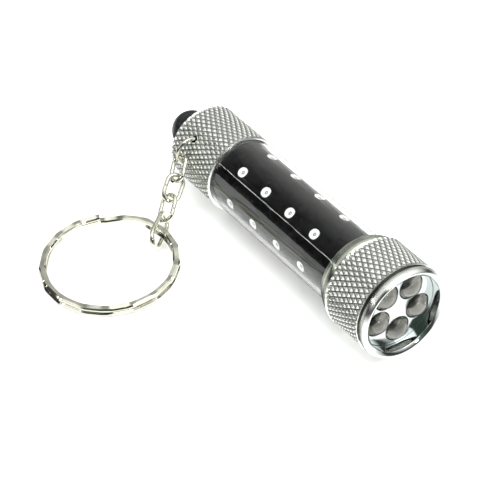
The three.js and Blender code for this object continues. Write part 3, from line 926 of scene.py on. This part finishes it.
FLOOR_REACH = 3
FLOOR_GAP = 0.00002
floor_mesh = bpy.data.meshes.new("floor")
floor_mesh.from_pydata([(x * FLOOR_REACH, y * FLOOR_REACH, 0)
                        for x, y in ((-1, -1), (1, -1), (1, 1), (-1, 1))], [], [(0, 1, 2, 3)])
floor = linked("floor", floor_mesh)
floor.location.z = cad_low.z - FLOOR_GAP
floor_mesh.materials.append(material("floor_white", (0.93, 0.935, 0.93), 0.9, 0.0, 0.01, 40,
                                     Specular_IOR_Level=0.0))
# What the metal and the sleeve mirror below the horizon is the world's own shading.
floor.visible_glossy = False

LOOK = Vector((0.6332, -0.4311, 0.6428)).normalized()
DISTANCE = 0.318973
TARGET = Vector((tail.x + 0.031589, tail.y - 0.010719, 0.007))
FOCAL_SHARE = 1762.323 / 500
SENSOR_WIDTH = 36

camera_data = bpy.data.cameras.new("camera")
camera_data.sensor_width = SENSOR_WIDTH
camera_data.lens = FOCAL_SHARE * SENSOR_WIDTH
camera_data.clip_start, camera_data.clip_end = 0.01, 10
camera = linked("camera", camera_data)
camera.location = TARGET + LOOK * DISTANCE
camera.rotation_mode = "QUATERNION"
camera.rotation_quaternion = (-LOOK).to_track_quat("-Z", "Y")
bpy.context.scene.camera = camera


def softbox(name, direction, distance, size, power, glossy=True, diffuse=True,
            colour=(1, 1, 1)):
    """A rectangular light that faces the origin from the given direction."""
    light = bpy.data.lights.new(name, "AREA")
    light.shape = "RECTANGLE"
    light.size, light.size_y = size
    light.energy = power
    light.color = colour
    obj = linked(name, light)
    way = Vector(direction).normalized()
    obj.location = way * distance
    obj.rotation_mode = "QUATERNION"
    obj.rotation_quaternion = way.to_track_quat("Z", "Y")
    obj.visible_glossy = glossy
    obj.visible_diffuse = diffuse
    return obj


# Wide soft lights from above and from every side; metal mirrors only the one above.
softbox("overhead", (0.42, 0.1, 0.9), 1.0, (0.85, 0.85), 4)
softbox("fill", (0.1, 0, 1), 1.05, (0.9, 0.9), 5, glossy=False)
for azimuth, power in ((0, 3), (60, 2.5), (180, 4.5), (272, 7), (318, 5)):
    turn = math.radians(azimuth)
    softbox(f"side_{azimuth}", (math.cos(turn), math.sin(turn), 0.5), 1.1, (0.8, 0.5), power,
            glossy=False)
# Only what lies inside clear plastic is lit by this one: the dots and the lamps.
softbox("inner", (0.3, 0.5, 0.81), 1.0, (0.7, 0.7), 6, glossy=False, diffuse=False)
# A small bright light for the glints on the lamps.
softbox("glint", (0.91, 0.1, 0.4), 1.0, (0.1, 0.1), 0.6, diffuse=False)
# The narrow strip that draws the thin line along the clear sleeve, parallel to it.
strip = softbox("strip", (-0.64, -0.66, 0.41), 0.9, (1.3, 0.018), 0.6, diffuse=False,
                colour=(0.94, 1, 0.96))
away = Vector((0, -0.66, 0.41)).normalized()
strip.rotation_quaternion = Matrix(
    ((1, 0, 0), away.cross((1, 0, 0)), away)).transposed().to_quaternion()

world = bpy.data.worlds.new("studio")
bpy.context.scene.world = world
world.use_nodes = True
nodes, links = world.node_tree.nodes, world.node_tree.links
background = nodes["Background"]
BACKGROUND_PEAK = 1.6
WORLD_TINT = (1, 1.01, 0.98)
FLAG_AWAY = 0.64
FLAG_EDGES = (0.09, 0.22)
PATCH_EDGES = (42, 22)
PATCH_COLOUR = (0.035, 0.05, 0.04, 1)


def calculated(operation, *values):
    node = nodes.new("ShaderNodeMath")
    node.operation = operation
    for i, value in enumerate(values):
        if isinstance(value, (int, float)):
            node.inputs[i].default_value = value
        else:
            links.new(value, node.inputs[i])
    return node.outputs[0]


def gradient(value, low, high, stops, tint=(1, 1, 1)):
    """Brightness along a value that runs from low to high."""
    share = nodes.new("ShaderNodeMapRange")
    share.inputs["From Min"].default_value = low
    share.inputs["From Max"].default_value = high
    links.new(value, share.inputs["Value"])
    ramp = nodes.new("ShaderNodeValToRGB")
    for position, _ in stops[1:-1]:
        ramp.color_ramp.elements.new((position - low) / (high - low))
    for element, (position, level) in zip(ramp.color_ramp.elements, stops):
        element.position = (position - low) / (high - low)
        element.color = (*[level * c / BACKGROUND_PEAK for c in tint], 1)
    links.new(share.outputs["Result"], ramp.inputs["Fac"])
    return ramp.outputs["Color"]


where = nodes.new("ShaderNodeTexCoord")
split = nodes.new("ShaderNodeSeparateXYZ")
links.new(where.outputs["Generated"], split.inputs["Vector"])
ex, ey, ez = split.outputs
# Bright above and below, with dark cloths all round near the horizon.
surround = gradient(ez, -1, 1, [
    (-1, 1.6), (-0.35, 1.55), (-0.1, 0.6), (0.0, 0.07), (0.22, 0.06), (0.40, 0.6), (0.62, 1.2),
    (1.0, 1.5)], WORLD_TINT)
# A black flag, which the flashlight's smooth sides mirror. Level over angle up from -Y.
angle = calculated("MULTIPLY", calculated("ARCTAN2", ez, calculated("MULTIPLY", ey, -1)),
                   180 / math.pi)
flag = gradient(angle, -180, 180, [
    (-180, 0.6), (-70, 0.12), (0, 0.04), (8, 0.03), (16, 0.02), (34, 0.02), (44, 0.07),
    (72, 0.10), (94, 0.28), (122, 0.55), (150, 0.62), (180, 0.5)], WORLD_TINT)
off = calculated("ABSOLUTE", calculated("ADD", ex, FLAG_AWAY))
mask = nodes.new("ShaderNodeMapRange")
mask.interpolation_type = "SMOOTHSTEP"
mask.inputs["From Min"].default_value, mask.inputs["From Max"].default_value = FLAG_EDGES
links.new(off, mask.inputs["Value"])
mixed = nodes.new("ShaderNodeMix")
mixed.data_type = "RGBA"
links.new(mask.outputs["Result"], mixed.inputs[0])
links.new(flag, mixed.inputs[6])
links.new(surround, mixed.inputs[7])
# A dark patch round the camera, as where the photographer stands.
facing = nodes.new("ShaderNodeVectorMath")
facing.operation = "DOT_PRODUCT"
facing.inputs[1].default_value = LOOK
links.new(where.outputs["Generated"], facing.inputs[0])
patch = nodes.new("ShaderNodeMapRange")
patch.interpolation_type = "SMOOTHSTEP"
for end, degrees in zip(("From Min", "From Max"), PATCH_EDGES):
    patch.inputs[end].default_value = math.cos(math.radians(degrees))
links.new(facing.outputs["Value"], patch.inputs["Value"])
darkened = nodes.new("ShaderNodeMix")
darkened.data_type = "RGBA"
links.new(patch.outputs["Result"], darkened.inputs[0])
links.new(mixed.outputs[2], darkened.inputs[6])
darkened.inputs[7].default_value = PATCH_COLOUR
links.new(darkened.outputs[2], background.inputs["Color"])
background.inputs["Strength"].default_value = BACKGROUND_PEAK
bpy.context.scene.view_settings.view_transform = "Standard"
